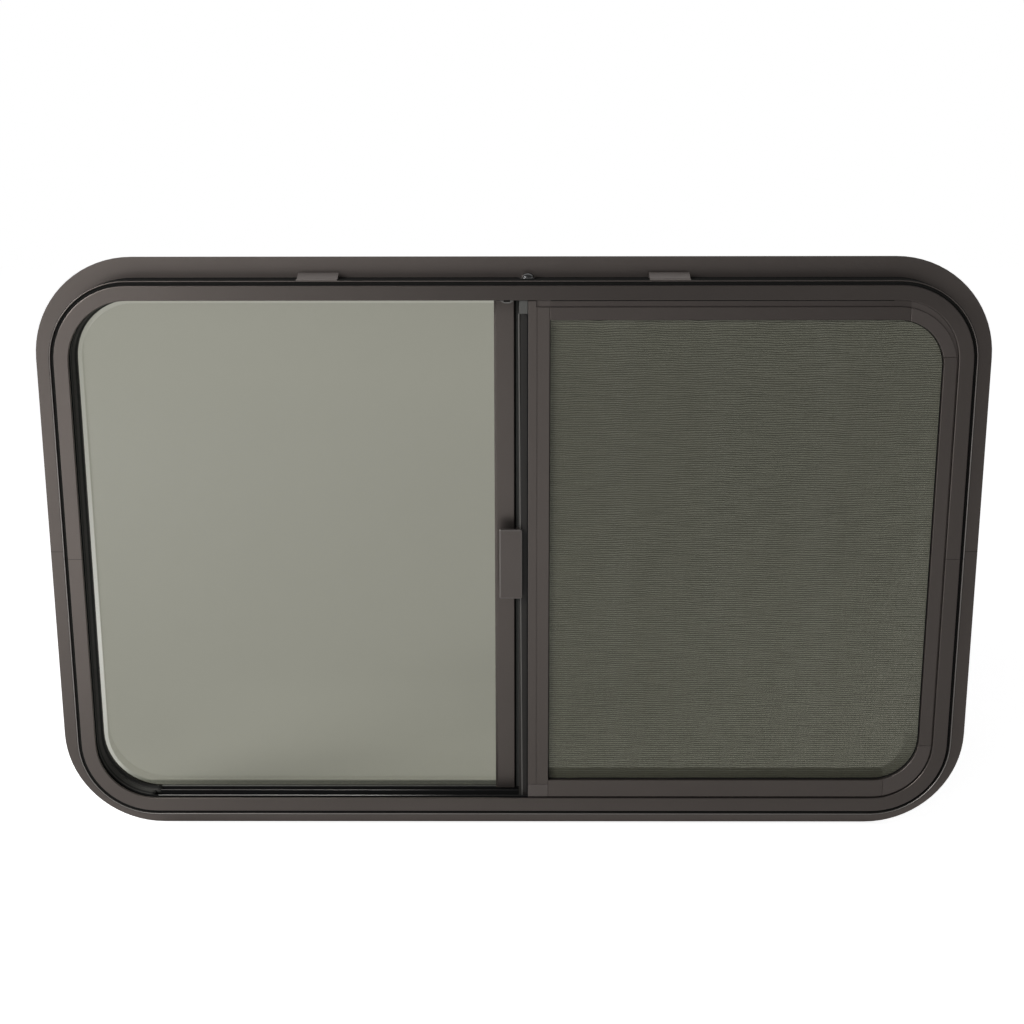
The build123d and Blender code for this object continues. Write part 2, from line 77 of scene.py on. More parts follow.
def addMesh(name, points, faces, smooth=True, closed=False):
    mesh = bpy.data.meshes.new(name)
    mesh.from_pydata(points.reshape(-1, 3).tolist(), [], [list(face) for face in faces])
    mesh.polygons.foreach_set("use_smooth", np.full(len(mesh.polygons), smooth))
    if closed:    # a closed form gets its faces turned outwards
        form = bmesh.new()
        form.from_mesh(mesh)
        bmesh.ops.recalc_face_normals(form, faces=form.faces)
        form.to_mesh(mesh)
        form.free()
    mesh.update()
    piece = bpy.data.objects.new(name, mesh)
    scene.collection.objects.link(piece)
    return piece


def finishPiece(piece, body, material, replaced=()):
    piece.data.materials.append(material)
    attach(piece, body)
    if replaced:
        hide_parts(*replaced)
    print(piece.name, "made:", len(piece.data.polygons), "faces")


# quads of a grid of rows by columns, where a closed direction joins its last line to its first
def gridFaces(rows, columns, closeRows=False, closeColumns=False):
    r = np.arange(rows if closeRows else rows - 1)
    c = np.arange(columns if closeColumns else columns - 1)
    r, c = np.meshgrid(r, c, indexing="ij")
    r2, c2 = (r + 1) % rows, (c + 1) % columns
    quads = np.stack([r * columns + c, r * columns + c2, r2 * columns + c2, r2 * columns + c], axis=-1)
    return quads.reshape(-1, 4)


# the faces of like bars: stations are rows, the profile is the closed direction, each end is one flat face
def barFaces(stations, around, count=1):
    sides = gridFaces(stations, around, closeColumns=True)
    ends = np.stack([np.arange(around), np.arange(around) + (stations - 1) * around])
    shift = (np.arange(count) * stations * around)[:, None, None]
    return (sides + shift).reshape(-1, 4).tolist() + (ends + shift).reshape(-1, around).tolist()


# a flat section of (first, second) pairs, repeated at each value of a third coordinate;
# order says which of the three is X, Y and Z
def layStations(section, places, order):
    shape = (len(places), len(section))
    values = {
        "first": np.broadcast_to(section[None, :, 0], shape),
        "second": np.broadcast_to(section[None, :, 1], shape),
        "along": np.broadcast_to(np.asarray(places)[:, None], shape),
    }
    return np.stack([values[key] for key in order], axis=-1)


# rounded rectangle seen from the room: each corner is a quarter circle, and the inward
# direction at a corner point aims at that quarter circle's centre
def roundedOutline(low, high, radii, steps):
    (x0, z0), (x1, z1) = low, high
    corners = [(x0, z0, 1, 1, 180), (x1, z0, -1, 1, 270), (x1, z1, -1, -1, 0), (x0, z1, 1, -1, 90)]
    points, inward = [], []
    for (x, z, sx, sz, begin), radius in zip(corners, radii):
        angle = np.radians(np.linspace(begin, begin + 90, steps))
        centre = np.array([x + sx * radius, z + sz * radius])
        ray = np.stack([np.cos(angle), np.sin(angle)], axis=-1)
        points.append(centre + radius * ray)
        inward.append(-ray)
    return np.concatenate(points), np.concatenate(inward)


# a profile of (inset, depth) pairs carried along a path in the window's plane:
# point = path point + inset times the inward direction, at that depth
def carryProfile(path, inward, profile):
    profile = np.broadcast_to(profile, (len(path),) + profile.shape[-2:])
    flat = path[:, None, :] + profile[..., 0:1] * inward[:, None, :]
    return np.stack([flat[..., 0], profile[..., 1], flat[..., 1]], axis=-1)


# the flange's outline, and the part of it that goes from the top round the left end to the bottom
outline, outlineInward = roundedOutline(
    (-window["halfWidth"], window["middleHeight"] - window["halfHeight"]),
    (window["halfWidth"], window["middleHeight"] + window["halfHeight"]),
    [window["cornerRadius"]] * 4, window["cornerSteps"])
leftEnd = np.roll(np.arange(len(outline)), window["cornerSteps"])[:2 * window["cornerSteps"]]


def newMaterial(name):
    material = bpy.data.materials.new(name)
    material.use_nodes = True
    tree = material.node_tree
    return material, tree, tree.nodes["Principled BSDF"]


def place(tree, kind, **values):
    node = tree.nodes.new(kind)
    for key, value in values.items():
        setattr(node, key, value)
    return node


def wire(tree, source, target):
    tree.links.new(source, target)


# one step of arithmetic on two values, each a number or a socket
def combine(tree, operation, first, second, clamp=False):
    node = place(tree, "ShaderNodeMath", operation=operation, use_clamp=clamp)
    for socket, value in zip(node.inputs, (first, second)):
        if isinstance(value, (int, float)):
            socket.default_value = value
        else:
            wire(tree, value, socket)
    return node.outputs["Value"]


# a value carried from one span to another and held at its ends
def mapValue(tree, source, fromSpan, toSpan=(0.0, 1.0), kind="LINEAR"):
    node = place(tree, "ShaderNodeMapRange", interpolation_type=kind)
    node.inputs["From Min"].default_value, node.inputs["From Max"].default_value = fromSpan
    node.inputs["To Min"].default_value, node.inputs["To Max"].default_value = toSpan
    wire(tree, source, node.inputs["Value"])
    return node.outputs["Result"]


# one when the value is between two edges, with soft ends
def softBand(tree, source, low, high, soft):
    rise = mapValue(tree, source, (low - soft, low), kind="SMOOTHSTEP")
    fall = mapValue(tree, source, (high, high + soft), (1.0, 0.0), kind="SMOOTHSTEP")
    return combine(tree, "MULTIPLY", rise, fall)


# colours along a value from nought to one
def toneRamp(tree, source, tones):
    ramp = place(tree, "ShaderNodeValToRGB")
    stops = ramp.color_ramp.elements
    while len(stops) < len(tones):
        stops.new(1.0)
    for stop, (at, tone) in zip(stops, tones):
        stop.position = at
        stop.color = (*tone, 1)
    wire(tree, source, ramp.inputs["Fac"])
    return ramp.outputs["Color"]


# lays another colour over a colour where the mask is one; the other colour is fixed or a socket
def layColour(tree, mask, under, colour):
    over = place(tree, "ShaderNodeMix", data_type="RGBA")
    wire(tree, mask, over.inputs["Factor"])
    wire(tree, under, over.inputs["A"])
    if isinstance(colour, tuple):
        over.inputs["B"].default_value = (*colour, 1)
    else:
        wire(tree, colour, over.inputs["B"])
    return over.outputs["Result"]


def splitPosition(tree, position):
    split = place(tree, "ShaderNodeSeparateXYZ")
    wire(tree, position, split.inputs["Vector"])
    return split.outputs["X"], split.outputs["Y"], split.outputs["Z"]


# detail of the two noises, and the span of the grain that moves the gloss
noise = {"cloudDetail": 3.0, "grainDetail": 4.0, "span": (0.25, 0.75)}


# mottled finish: a broad cloud blends two tones, a fine grain moves the gloss and stands up as height
def buildFinishGroup():
    group = bpy.data.node_groups.new("mottledFinish", "ShaderNodeTree")
    inputs = {"Position": "NodeSocketVector", "Tone": "NodeSocketColor", "Shade": "NodeSocketColor",
              "Cloud": "NodeSocketFloat", "Grain": "NodeSocketFloat",
              "GlossLow": "NodeSocketFloat", "GlossHigh": "NodeSocketFloat"}
    outputs = {"Colour": "NodeSocketColor", "Roughness": "NodeSocketFloat", "Height": "NodeSocketFloat"}
    for sockets, side in ((inputs, "INPUT"), (outputs, "OUTPUT")):
        for name, kind in sockets.items():
            group.interface.new_socket(name, in_out=side, socket_type=kind)
    inlet = place(group, "NodeGroupInput")
    outlet = place(group, "NodeGroupOutput")
    cloud = place(group, "ShaderNodeTexNoise")
    cloud.inputs["Detail"].default_value = noise["cloudDetail"]
    grain = place(group, "ShaderNodeTexNoise")
    grain.inputs["Detail"].default_value = noise["grainDetail"]
    for texture, scale in ((cloud, "Cloud"), (grain, "Grain")):
        wire(group, inlet.outputs["Position"], texture.inputs["Vector"])
        wire(group, inlet.outputs[scale], texture.inputs["Scale"])
    blend = place(group, "ShaderNodeMix", data_type="RGBA")
    wire(group, cloud.outputs["Fac"], blend.inputs["Factor"])
    wire(group, inlet.outputs["Tone"], blend.inputs["A"])
    wire(group, inlet.outputs["Shade"], blend.inputs["B"])
    gloss = place(group, "ShaderNodeMapRange")
    gloss.inputs["From Min"].default_value, gloss.inputs["From Max"].default_value = noise["span"]
    wire(group, grain.outputs["Fac"], gloss.inputs["Value"])
    wire(group, inlet.outputs["GlossLow"], gloss.inputs["To Min"])
    wire(group, inlet.outputs["GlossHigh"], gloss.inputs["To Max"])
    wire(group, blend.outputs["Result"], outlet.inputs["Colour"])
    wire(group, gloss.outputs["Result"], outlet.inputs["Roughness"])
    wire(group, grain.outputs["Fac"], outlet.inputs["Height"])
    return group


finishGroup = buildFinishGroup()


# how far a point lies inside the flange's rounded outline: q is how far it is past the straight part
# of each side, and inset = corner radius - length of max(q, 0) - min(larger q, 0)
def buildInsetGroup():
    group = bpy.data.node_groups.new("edgeInset", "ShaderNodeTree")
    group.interface.new_socket("Position", in_out="INPUT", socket_type="NodeSocketVector")
    group.interface.new_socket("Inset", in_out="OUTPUT", socket_type="NodeSocketFloat")
    inlet = place(group, "NodeGroupInput")
    outlet = place(group, "NodeGroupOutput")
    radius = window["cornerRadius"]
    centred = place(group, "ShaderNodeVectorMath", operation="SUBTRACT")
    centred.inputs[1].default_value = (0, 0, window["middleHeight"])
    size = place(group, "ShaderNodeVectorMath", operation="ABSOLUTE")
    past = place(group, "ShaderNodeVectorMath", operation="SUBTRACT")
    past.inputs[1].default_value = (window["halfWidth"] - radius, window["anyDepth"],
                                    window["halfHeight"] - radius)
    outside = place(group, "ShaderNodeVectorMath", operation="MAXIMUM")
    reach = place(group, "ShaderNodeVectorMath", operation="LENGTH")
    wire(group, inlet.outputs["Position"], centred.inputs[0])
    wire(group, centred.outputs["Vector"], size.inputs[0])
    wire(group, size.outputs["Vector"], past.inputs[0])
    wire(group, past.outputs["Vector"], outside.inputs[0])
    wire(group, outside.outputs["Vector"], reach.inputs[0])
    x, _, z = splitPosition(group, past.outputs["Vector"])
    inside = combine(group, "MINIMUM", combine(group, "MAXIMUM", x, z), 0.0)
    total = combine(group, "ADD", reach.outputs["Value"], inside)
    wire(group, combine(group, "SUBTRACT", radius, total), outlet.inputs["Inset"])
    return group


insetGroup = buildInsetGroup()


def edgeInset(tree, position):
    inset = place(tree, "ShaderNodeGroup", node_tree=insetGroup)
    wire(tree, position, inset.inputs["Position"])
    return inset.outputs["Inset"]


def placeFinish(tree, position, look):
    mottled = place(tree, "ShaderNodeGroup", node_tree=finishGroup)
    wire(tree, position, mottled.inputs["Position"])
    mottled.inputs["Tone"].default_value = (*look["tone"], 1)
    mottled.inputs["Shade"].default_value = (*look["shade"], 1)
    mottled.inputs["Cloud"].default_value = look["cloud"]
    mottled.inputs["Grain"].default_value = look["grain"]
    mottled.inputs["GlossLow"].default_value, mottled.inputs["GlossHigh"].default_value = look["gloss"]
    return mottled.outputs


# one finish from its settings; marks lay other colours over its base colour
def makeFinish(name, look, marks=None):
    material, tree, shader = newMaterial(name)
    position = place(tree, "ShaderNodeTexCoord").outputs["Object"]
    mottled = placeFinish(tree, position, look)
    bump = place(tree, "ShaderNodeBump")
    bump.inputs["Strength"].default_value = look["bump"]
    bump.inputs["Distance"].default_value = look["bumpHeight"]
    wire(tree, mottled["Height"], bump.inputs["Height"])
    colour = marks(tree, position, mottled["Colour"]) if marks else mottled["Colour"]
    wire(tree, colour, shader.inputs["Base Color"])
    wire(tree, mottled["Roughness"], shader.inputs["Roughness"])
    wire(tree, bump.outputs["Normal"], shader.inputs["Normal"])
    shader.inputs["Metallic"].default_value = look.get("metal", 0.0)
    shader.inputs["Specular IOR Level"].default_value = look.get("specular", 0.5)
    return material


frameMarks = {
    "tipInset": (0.0209, 0.0226),
    "tipDepth": (-0.0290, -0.0268),
    "tipHighlightTone": (0.27, 0.253, 0.238),
    "tipHeights": (0.40, 0.57),    # the painted highlight fades out between these heights
    "tipHighlightShare": 0.9,
    "seamHalf": 0.00022,
    "seamTone": (0.035, 0.03, 0.03),
    "seamShare": 0.7,
    "soft": 0.0002,
    "flangeInset": 0.0202,
    "flangeSpan": (-0.47, -0.25),    # painted light: the flange turns paler from its left end
    "flangeShare": (0.98, 1.12),
    "rimInset": (0.0245, 0.0420),
    "rimDepth": (-0.0262, -0.0258),
    "rimSpan": (-0.45, -0.28),    # painted shade: the rim turns darker from its left end
    "rimShare": (1.08, 0.93),
    "topHeights": (0.53, 0.555),
    "topSpan": (-0.36, 0.08),    # painted shade: along its top it turns darker still
    "topShare": (1.0, 0.71),
    "endSpan": (0.12, 0.42),    # painted light: the rim's right end turns paler again
    "endShare": (1.0, 1.27),
}


def scaleColour(tree, colour, share):
    scaled = place(tree, "ShaderNodeVectorMath", operation="SCALE")
    wire(tree, colour, scaled.inputs[0])
    wire(tree, share, scaled.inputs["Scale"])
    return scaled.outputs["Vector"]


# painted light and shade on the frame: the flange and the rim differ in tone, the rim is painted paler at
# the left and darker along the top; a painted highlight runs along the wall's tip, and a thin dark line
# marks where the frame's two halves meet
def markFrame(tree, position, colour):
    x, y, z = splitPosition(tree, position)
    inset, soft, edge = edgeInset(tree, position), frameMarks["soft"], frameMarks["flangeInset"]
    flange = combine(tree, "POWER", mapValue(tree, x, frameMarks["flangeSpan"], frameMarks["flangeShare"]),
                     mapValue(tree, inset, (edge, edge + soft), (1.0, 0.0)))
    rim = combine(tree, "MULTIPLY", softBand(tree, inset, *frameMarks["rimInset"], soft),
                  mapValue(tree, y, frameMarks["rimDepth"], (1.0, 0.0)))
    side = mapValue(tree, x, frameMarks["rimSpan"], frameMarks["rimShare"])
    dark = combine(tree, "MULTIPLY", mapValue(tree, x, frameMarks["topSpan"], frameMarks["topShare"]),
                   mapValue(tree, x, frameMarks["endSpan"], frameMarks["endShare"]))
    top = combine(tree, "POWER", dark, mapValue(tree, z, frameMarks["topHeights"]))
    share = combine(tree, "POWER", combine(tree, "MULTIPLY", side, top), rim)
    colour = scaleColour(tree, colour, combine(tree, "MULTIPLY", flange, share))
    # painted highlight along the wall's tip, fading out with height
    tip = combine(tree, "MULTIPLY", softBand(tree, inset, *frameMarks["tipInset"], soft),
                  softBand(tree, y, *frameMarks["tipDepth"], soft))
    fade = mapValue(tree, z, frameMarks["tipHeights"], (frameMarks["tipHighlightShare"], 0.0))
    colour = layColour(tree, combine(tree, "MULTIPLY", tip, fade), colour, frameMarks["tipHighlightTone"])
    middle, half = window["middleHeight"], frameMarks["seamHalf"]
    seam = softBand(tree, z, middle - half, middle + half, soft)
    seam = combine(tree, "MULTIPLY", seam, frameMarks["seamShare"])
    return layColour(tree, seam, colour, frameMarks["seamTone"])


pullHighlightMarks = {"edge": 0.0011, "soft": 0.0005, "tone": (0.23, 0.215, 0.205), "share": 0.55}


# painted highlight on the pull's rounded edges, along its top, its foot and both sides
def markPullHighlight(tree, position, colour):
    low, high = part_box("sash_pull")
    x, _, z = splitPosition(tree, position)
    edge, soft = pullHighlightMarks["edge"], pullHighlightMarks["soft"]
    inside = combine(tree, "MULTIPLY", softBand(tree, x, low.x + edge + soft, high.x - edge - soft, soft),
                     softBand(tree, z, low.z + edge + soft, high.z - edge - soft, soft))
    edgeHighlight = mapValue(tree, inside, (0.0, 1.0), (pullHighlightMarks["share"], 0.0))
    return layColour(tree, edgeHighlight, colour, pullHighlightMarks["tone"])


postShadowMarks = {
    "x": (-0.0165, -0.003), "y": (-0.0035, -0.0025), "rise": (0.040, 0.018), "fall": (0.008, -0.013),
    "tone": (0.018, 0.017, 0.016), "share": 0.65,
}


# painted shadow of the pull on the room side of the post, just above the top of the pull
def markPostShadow(tree, position, colour):
    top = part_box("sash_pull")[1].z
    x, y, z = splitPosition(tree, position)
    below = combine(tree, "SUBTRACT", top, z)
    rise = mapValue(tree, below, postShadowMarks["rise"], kind="SMOOTHSTEP")
    fall = mapValue(tree, below, postShadowMarks["fall"], (postShadowMarks["share"], 0.0), "SMOOTHSTEP")
    across = combine(tree, "MULTIPLY", mapValue(tree, x, postShadowMarks["x"], kind="SMOOTHSTEP"),
                     mapValue(tree, y, postShadowMarks["y"], (1.0, 0.0)))
    mark = combine(tree, "MULTIPLY", combine(tree, "MULTIPLY", rise, fall), across)
    return layColour(tree, mark, colour, postShadowMarks["tone"])


capHighlightMarks = {"span": (-0.37, -0.06), "depths": (-0.016, -0.012),
            "front": (0.70, 0.68, 0.65), "rear": (0.25, 0.24, 0.23)}


# painted highlight on the caps of the track ribs: bright at the left and dull towards the post, most of all
# the front one
def markCapHighlight(tree, position, colour):
    x, y, _ = splitPosition(tree, position)
    fade = mapValue(tree, x, capHighlightMarks["span"], (1.0, 0.0))
    rear = layColour(tree, fade, colour, capHighlightMarks["rear"])
    front = layColour(tree, fade, colour, capHighlightMarks["front"])
    return layColour(tree, mapValue(tree, y, capHighlightMarks["depths"]), front, rear)


threadMarks = {"attribute": "threadAcross", "tone": (0.034, 0.034, 0.021)}


# the cloth's threads across are darker than those that go up
def markThreads(tree, position, colour):
    across = place(tree, "ShaderNodeAttribute", attribute_name=threadMarks["attribute"])
    return layColour(tree, across.outputs["Fac"], colour, threadMarks["tone"])


fillerShadeMarks = {"lines": ((-0.0172, -0.0148), (-0.0045, 0.0020)), "soft": 0.0006,
               "tone": (0.006, 0.006, 0.0055), "share": 0.92}


# painted shade along the filler: a black line in the groove near its front, and one at the back where the
# bead meets the fixed pane
def markFillerShade(tree, position, colour):
    _, y, _ = splitPosition(tree, position)
    for front, back in fillerShadeMarks["lines"]:
        line = softBand(tree, y, front, back, fillerShadeMarks["soft"])
        line = combine(tree, "MULTIPLY", line, fillerShadeMarks["share"])
        colour = layColour(tree, line, colour, fillerShadeMarks["tone"])
    return colour


lipShadeMarks = {"span": (-0.37, -0.06), "tone": (0.076, 0.077, 0.068)}


# painted shade: the grey lip at the fixed pane's foot is painted darker towards the post
def markLipShade(tree, position, colour):
    x, _, _ = splitPosition(tree, position)
    return layColour(tree, mapValue(tree, x, lipShadeMarks["span"]), colour, lipShadeMarks["tone"])


looks = {
    "bronze": {"tone": (0.133, 0.115, 0.105), "shade": (0.117, 0.102, 0.093), "cloud": 14.0,
               "grain": 1500.0, "gloss": (0.33, 0.42), "bump": 0.12, "bumpHeight": 0.0002, "metal": 0.85},
    # a copy of the bronze painted darker: painted shade on the screen's head rail under the rim
    "shadedHeadRail": {"tone": (0.112, 0.096, 0.088), "shade": (0.098, 0.085, 0.078), "cloud": 14.0,
                 "grain": 1500.0, "gloss": (0.33, 0.42), "bump": 0.12, "bumpHeight": 0.0002, "metal": 0.85},
    "liner": {"tone": (0.006, 0.006, 0.006), "shade": (0.010, 0.010, 0.010), "cloud": 30.0,
              "grain": 900.0, "gloss": (0.40, 0.52), "bump": 0.1, "bumpHeight": 0.0002, "specular": 0.15},
    "filler": {"tone": (0.046, 0.045, 0.040), "shade": (0.068, 0.067, 0.060), "cloud": 60.0,
               "grain": 1200.0, "gloss": (0.5, 0.65), "bump": 0.25, "bumpHeight": 0.0003},
    "lip": {"tone": (0.128, 0.130, 0.116), "shade": (0.140, 0.142, 0.127), "cloud": 60.0,
            "grain": 1500.0, "gloss": (0.5, 0.65), "bump": 0.2, "bumpHeight": 0.0002},
    "rail": {"tone": (0.0215, 0.0195, 0.0175), "shade": (0.028, 0.0255, 0.023), "cloud": 14.0,
             "grain": 1500.0, "gloss": (0.35, 0.45), "bump": 0.1, "bumpHeight": 0.0002, "metal": 0.3},
    "pile": {"tone": (0.015, 0.015, 0.015), "shade": (0.035, 0.034, 0.033), "cloud": 300.0,
             "grain": 3000.0, "gloss": (0.85, 0.95), "bump": 0.5, "bumpHeight": 0.0005},
    "felt": {"tone": (0.042, 0.043, 0.040), "shade": (0.058, 0.059, 0.055), "cloud": 250.0,
             "grain": 2500.0, "gloss": (0.85, 0.95), "bump": 0.5, "bumpHeight": 0.0004},
    "mesh": {"tone": (0.072, 0.072, 0.047), "shade": (0.083, 0.083, 0.054), "cloud": 20.0,
             "grain": 900.0, "gloss": (0.5, 0.6), "bump": 0.1, "bumpHeight": 0.0001},
    "moulding": {"tone": (0.142, 0.123, 0.113), "shade": (0.130, 0.113, 0.104), "cloud": 30.0,
                 "grain": 2200.0, "gloss": (0.35, 0.44), "bump": 0.2, "bumpHeight": 0.0002, "metal": 0.82},
    "pull": {"tone": (0.130, 0.114, 0.105), "shade": (0.119, 0.104, 0.096), "cloud": 40.0,
             "grain": 2200.0, "gloss": (0.35, 0.44), "bump": 0.2, "bumpHeight": 0.0002, "metal": 0.82},
    "block": {"tone": (0.150, 0.132, 0.123), "shade": (0.137, 0.120, 0.112), "cloud": 60.0,
              "grain": 2200.0, "gloss": (0.35, 0.44), "bump": 0.2, "bumpHeight": 0.0002, "metal": 0.82},
    "grey_block": {"tone": (0.076, 0.075, 0.070), "shade": (0.088, 0.087, 0.081), "cloud": 60.0,
                   "grain": 1800.0, "gloss": (0.4, 0.5), "bump": 0.15, "bumpHeight": 0.0002},
    "spring": {"tone": (0.174, 0.155, 0.144), "shade": (0.198, 0.175, 0.163), "cloud": 40.0,
               "grain": 1600.0, "gloss": (0.38, 0.5), "bump": 0.15, "bumpHeight": 0.0002, "metal": 0.6},
    "screw": {"tone": (0.010, 0.010, 0.010), "shade": (0.018, 0.017, 0.016), "cloud": 200.0,
              "grain": 2500.0, "gloss": (0.10, 0.17), "bump": 0.1, "bumpHeight": 0.0001, "specular": 0.9},
    "tape": {"tone": (0.009, 0.009, 0.0085), "shade": (0.014, 0.014, 0.013), "cloud": 80.0,
             "grain": 2000.0, "gloss": (0.85, 1.0), "bump": 0.3, "bumpHeight": 0.0003, "specular": 0.1},
    # pale tone: a painted highlight on the stile's edge strip and on the rim's tab
    "edge": {"tone": (0.19, 0.183, 0.172), "shade": (0.15, 0.143, 0.134), "cloud": 25.0,
             "grain": 1500.0, "gloss": (0.35, 0.5), "bump": 0.15, "bumpHeight": 0.0002, "metal": 0.7},
    "cap": {"tone": (0.028, 0.028, 0.027), "shade": (0.034, 0.034, 0.033), "cloud": 25.0,
            "grain": 1500.0, "gloss": (0.35, 0.5), "bump": 0.15, "bumpHeight": 0.0002, "metal": 0.7},
}
finishMarks = {"pull": markPullHighlight, "cap": markCapHighlight, "mesh": markThreads, "filler": markFillerShade, "lip": markLipShade}
finishes = {name: makeFinish(name, look, finishMarks.get(name)) for name, look in looks.items()}
finishes["frame"] = makeFinish("frameBronze", looks["bronze"], markFrame)
# the post's bronze carries the painted shadow above the pull
finishes["post"] = makeFinish("postBronzeShadowed", looks["bronze"], markPostShadow)

# tinted panes whose tint is graded by height at each end of a span across, as painted light and shade seen
# through the glass; towards its edge a pane has a band of other tones by height, a painted bright edge with
# painted shade at its foot, and the fixed one has a painted shadow, a dark sill, along its foot
paneLook = {"cloud": 6.0, "grain": 300.0, "gloss": (0.0, 0.015), "bend": 1.42, "heights": (0.03, 0.56)}
panes = {
    "fixedPane": {
        "tone": (0.330, 0.330, 0.273), "shade": (0.321, 0.321, 0.266), "span": (-0.382, -0.071),
        "left": [(0.02, 0.790), (0.12, 0.770), (0.45, 0.845), (0.92, 0.900)],
        "right": [(0.02, 0.945), (0.09, 0.980), (0.25, 0.820), (0.80, 0.848)],
        "band": (0.0300, 0.0459), "soft": 0.0008, "sill": 0.0369,
        "sillShadowTones": [(0.0, (0.120, 0.122, 0.098)), (1.0, (0.083, 0.085, 0.070))],
        "bandTones": [(0.012, (0.130, 0.133, 0.106)), (0.05, (0.42, 0.42, 0.375)),
                      (0.32, (0.59, 0.585, 0.54)), (0.92, (0.34, 0.34, 0.29))],
    },
    "slidingPane": {
        "tone": (0.440, 0.440, 0.363), "shade": (0.430, 0.430, 0.355), "span": (0.082, 0.404),
        "left": [(0.03, 0.770), (0.20, 0.606), (0.50, 0.453), (0.84, 0.352)],
        "right": [(0.08, 0.970), (0.17, 1.0), (0.50, 0.630), (0.84, 0.443)],
        "band": (0.0300, 0.0670), "soft": 0.0025,
        "bandTones": [(0.04, (0.085, 0.086, 0.072)), (0.15, (0.42, 0.42, 0.35)),
                      (0.84, (0.20, 0.20, 0.165))],
    },
}


def makePaneGlass(name, pane):
    material, tree, shader = newMaterial(name)
    position = place(tree, "ShaderNodeTexCoord").outputs["Object"]
    mottled = placeFinish(tree, position, {**paneLook, **pane})
    x, _, z = splitPosition(tree, position)
    height = mapValue(tree, z, paneLook["heights"])
    # painted light and shade through the glass: tint shares by height at the left and right of the span
    left, right = (toneRamp(tree, height, [(at, (share,) * 3) for at, share in pane[side]])
                   for side in ("left", "right"))
    graded = place(tree, "ShaderNodeMix", data_type="RGBA", blend_type="MULTIPLY")
    graded.inputs["Factor"].default_value = 1.0
    wire(tree, mottled["Colour"], graded.inputs["A"])
    across = mapValue(tree, x, pane["span"])
    wire(tree, layColour(tree, across, left, right), graded.inputs["B"])
    # painted light in the band at the pane's edge, with painted shade towards its foot
    band = softBand(tree, edgeInset(tree, position), *pane["band"], pane["soft"])
    colour = layColour(tree, band, graded.outputs["Result"], toneRamp(tree, height, pane["bandTones"]))
    # painted shadow along the fixed pane's foot
    if "sill" in pane:
        sill = mapValue(tree, z, (pane["sill"], pane["sill"] + pane["soft"]), (1.0, 0.0), "SMOOTHSTEP")
        colour = layColour(tree, sill, colour, toneRamp(tree, across, pane["sillShadowTones"]))
    wire(tree, colour, shader.inputs["Base Color"])
    wire(tree, mottled["Roughness"], shader.inputs["Roughness"])
    shader.inputs["Transmission Weight"].default_value = 1.0
    shader.inputs["IOR"].default_value = paneLook["bend"]
    return material


for name, pane in panes.items():
    finishes[name] = makePaneGlass(name, pane)

# finishes of single solids that differ from the rest of their kind
special = {
    "upper_frame": "frame", "lower_frame": "frame", "fixed_glass": "fixedPane", "sash_glass": "slidingPane",
    "centre_post": "post", "post_clip": "edge", "sash_pull": "pull", "screen_block": "block",
    "screen_top_rail": "shadedHeadRail",
}
for part in frame["record"]["subparts"]:
    solid = nodes[part["node"]]
    solid.data.materials.clear()
    solid.data.materials.append(finishes[special.get(part["node"], part["material_slot"])])
print("finishes set:", sorted(finishes))

# insect screen cloth: flattened threads across and up, cut to the rounded opening
cloth = {
    "acrossPitch": 0.00228,
    "acrossHalf": 0.00030,
    "upPitch": 0.0009,
    "upHalf": 0.00033,
    "cornerRadius": 0.047,
    "crown": 0.45,              # how far a thread bulges towards the room, as a share of its half width
    "around": 4,
    "strayAcross": 0.00040,     # how far a thread strays from straight
    "strayUp": 0.00002,
    "strayLength": 0.09,
    "secondWave": 2.6,          # waves of the second stray for each wave of the first
    "driftStep": 0.5,           # how far a wave's phase drifts from a thread to the next, in radians
    "swellAcross": 0.20,        # how far a thread's width swells along it, as a share of its half width
    "swellUp": 0.03,
    "swellLength": 0.06,
    "widthSpread": 0.02,        # how far threads differ in width
    "steps": 30,
    "frontDepth": 0.0002,       # threads across lie in front of those that go up
    "backDepth": 0.0004,
    "seedAcross": 3,
    "seedUp": 4,
    "heldBy": ["screen_stile", "screen_top_rail", "screen_upper_corner", "screen_side_rail",
               "screen_lower_corner", "screen_bottom_rail"],
}


# every thread is a crowned ribbon: its centre line runs from start to end, shifted sideways by two slow
# waves whose phase drifts from thread to thread; its half width swells in a wave of its own; across it,
# offset = half width times sine of an angle, and it stands towards the room by crown times the cosine
def weaveThreads(starts, ends, places, half, stray, swell, depth, axis, seed):
    rng = np.random.default_rng(seed)
    count, steps, around = len(places), cloth["steps"], cloth["around"]
    t = np.linspace(0, 1, steps)
    run = starts[:, None] + (ends - starts)[:, None] * t
    drift = np.cumsum(rng.normal(0, cloth["driftStep"], (2, count)), axis=1)
    phase = rng.uniform(0, 2 * math.pi, count)
    wave = run * 2 * math.pi / cloth["strayLength"]
    sway = np.sin(wave + drift[0][:, None]) + np.sin(cloth["secondWave"] * wave + drift[1][:, None])
    middle = places[:, None] + stray * sway
    turn = np.linspace(-0.5 * math.pi, 0.5 * math.pi, around)
    swollen = 1 + swell * np.sin(run * 2 * math.pi / cloth["swellLength"] + phase[:, None])
    wide = (half * (1 + rng.normal(0, cloth["widthSpread"], count))[:, None] * swollen)[..., None]
    side = middle[..., None] + wide * np.sin(turn)
    back = depth - cloth["crown"] * wide * np.cos(turn) + np.zeros_like(side)
    along = np.broadcast_to(run[..., None], side.shape)
    points = np.stack([along, back, side] if axis == "x" else [side, back, along], axis=-1)
    one = gridFaces(steps, around)
    if axis == "z":
        one = one[:, ::-1]
    faces = (one[None] + (np.arange(count) * steps * around)[:, None, None]).reshape(-1, 4)
    return points.reshape(-1, 3), faces


